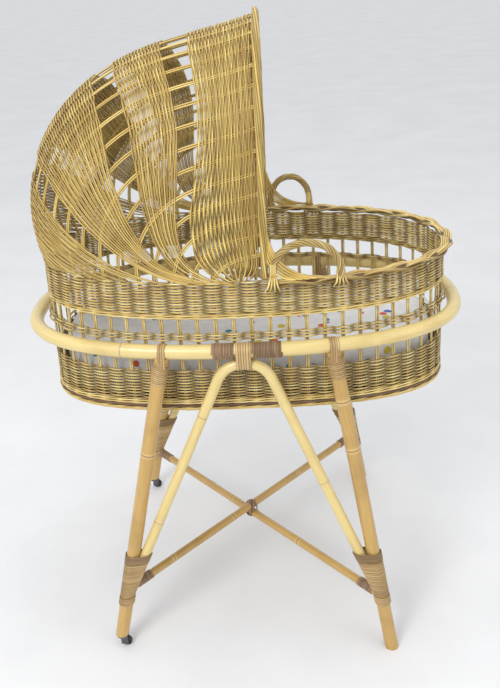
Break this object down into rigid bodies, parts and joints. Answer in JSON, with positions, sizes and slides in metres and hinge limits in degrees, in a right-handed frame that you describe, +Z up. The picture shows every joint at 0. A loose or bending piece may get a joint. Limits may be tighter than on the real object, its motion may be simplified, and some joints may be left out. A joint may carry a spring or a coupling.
{
  "type": "bassinet on stand",
  "caption": "Woven wicker bassinet with a fixed fan-shaped hood and carrying handles, resting in the hoop of a splayed rattan stand with casters at one end.",
  "frame": {"origin": "on the floor, under the middle of the bounding box", "axes": "+Z up; +X towards the open foot end, with the hood over the -X half; +Y to the left seen from the head end looking at the foot end"},
  "size_m": [0.86, 0.6252, 1.2015],
  "materials": {
    "rattan_pole": "smooth glossy peeled rattan",
    "leg_rattan": "satin honey rattan",
    "dark_cane": "matt stained cane",
    "light_cane": "satin cane",
    "wicker": "satin woven cane",
    "stained_board": "matt stained plywood",
    "printed_cotton": null,
    "caster_rubber": "matt",
    "caster_steel": "dull plated"
  },
  "bodies": {
    "stand": {"arch_left": "rattan_pole", "arch_right": "rattan_pole", "arch_strap_left": "light_cane", "arch_strap_right": "light_cane", "caster_plate_left": "caster_steel", "caster_plate_right": "caster_steel", "hoop_rail": "rattan_pole", "joint_wrap_foot_left": "light_cane", "joint_wrap_foot_right": "light_cane", "joint_wrap_head_left": "light_cane", "joint_wrap_head_right": "light_cane", "leg_foot_left": "leg_rattan", "leg_foot_right": "leg_rattan", "leg_head_left": "leg_rattan", "leg_head_right": "leg_rattan", "leg_strap_foot_left": "light_cane", "leg_strap_foot_right": "light_cane", "leg_strap_head_left": "light_cane", "leg_strap_head_right": "light_cane", "leg_wrap_foot_left": "light_cane", "leg_wrap_foot_right": "light_cane", "leg_wrap_head_left": "light_cane", "leg_wrap_head_right": "light_cane", "splice_wrap_foot_left": "dark_cane", "splice_wrap_foot_right": "dark_cane", "splice_wrap_head_left": "dark_cane", "splice_wrap_head_right": "dark_cane", "stretcher_lashing": "dark_cane", "stretcher_lower": "rattan_pole", "stretcher_upper": "rattan_pole", "stretcher_wrap_foot_left": "dark_cane", "stretcher_wrap_foot_right": "dark_cane", "stretcher_wrap_head_left": "dark_cane", "stretcher_wrap_head_right": "dark_cane"},
    "basket": {"base_board": "stained_board", "foot_border": "wicker", "lower_weave": "wicker", "support_wale": "wicker", "upper_weave": "wicker", "rim_border": "wicker", "handle_right": "wicker", "handle_left": "wicker", "hood_weave_back": "wicker", "hood_weave_rear": "wicker", "hood_weave_middle": "wicker", "hood_weave_front": "wicker", "hood_front_border": "wicker"},
    "mattress": {"mattress": "printed_cotton"},
    "caster_right": {"caster_fork_right": "caster_steel", "caster_axle_right": "caster_steel"},
    "wheel_right": {"caster_wheel_right": "caster_rubber"},
    "caster_left": {"caster_fork_left": "caster_steel", "caster_axle_left": "caster_steel"},
    "wheel_left": {"caster_wheel_left": "caster_rubber"}
  },
  "joints": [
    {"name": "basket_lift", "type": "slide", "parent": "stand", "child": "basket", "axis": [0, 0, 1], "range_m": [0, 0.2]},
    {"name": "mattress_tilt", "type": "hinge", "parent": "basket", "child": "mattress", "pos_m": [-0.3726, 0, 0.6123], "axis": [0, -1, 0], "range_deg": [0, 28]},
    {"name": "caster_swivel_right", "type": "hinge", "parent": "stand", "child": "caster_right", "pos_m": [-0.27936, -0.27579, 0.03], "axis": [0, 0, 1], "continuous": true},
    {"name": "wheel_spin_right", "type": "hinge", "parent": "caster_right", "child": "wheel_right", "pos_m": [-0.27136, -0.27579, 0.0105], "axis": [0, 1, 0], "continuous": true},
    {"name": "caster_swivel_left", "type": "hinge", "parent": "stand", "child": "caster_left", "pos_m": [-0.27936, 0.27579, 0.03], "axis": [0, 0, 1], "continuous": true},
    {"name": "wheel_spin_left", "type": "hinge", "parent": "caster_left", "child": "wheel_left", "pos_m": [-0.27136, 0.27579, 0.0105], "axis": [0, 1, 0], "continuous": true}
  ]
}
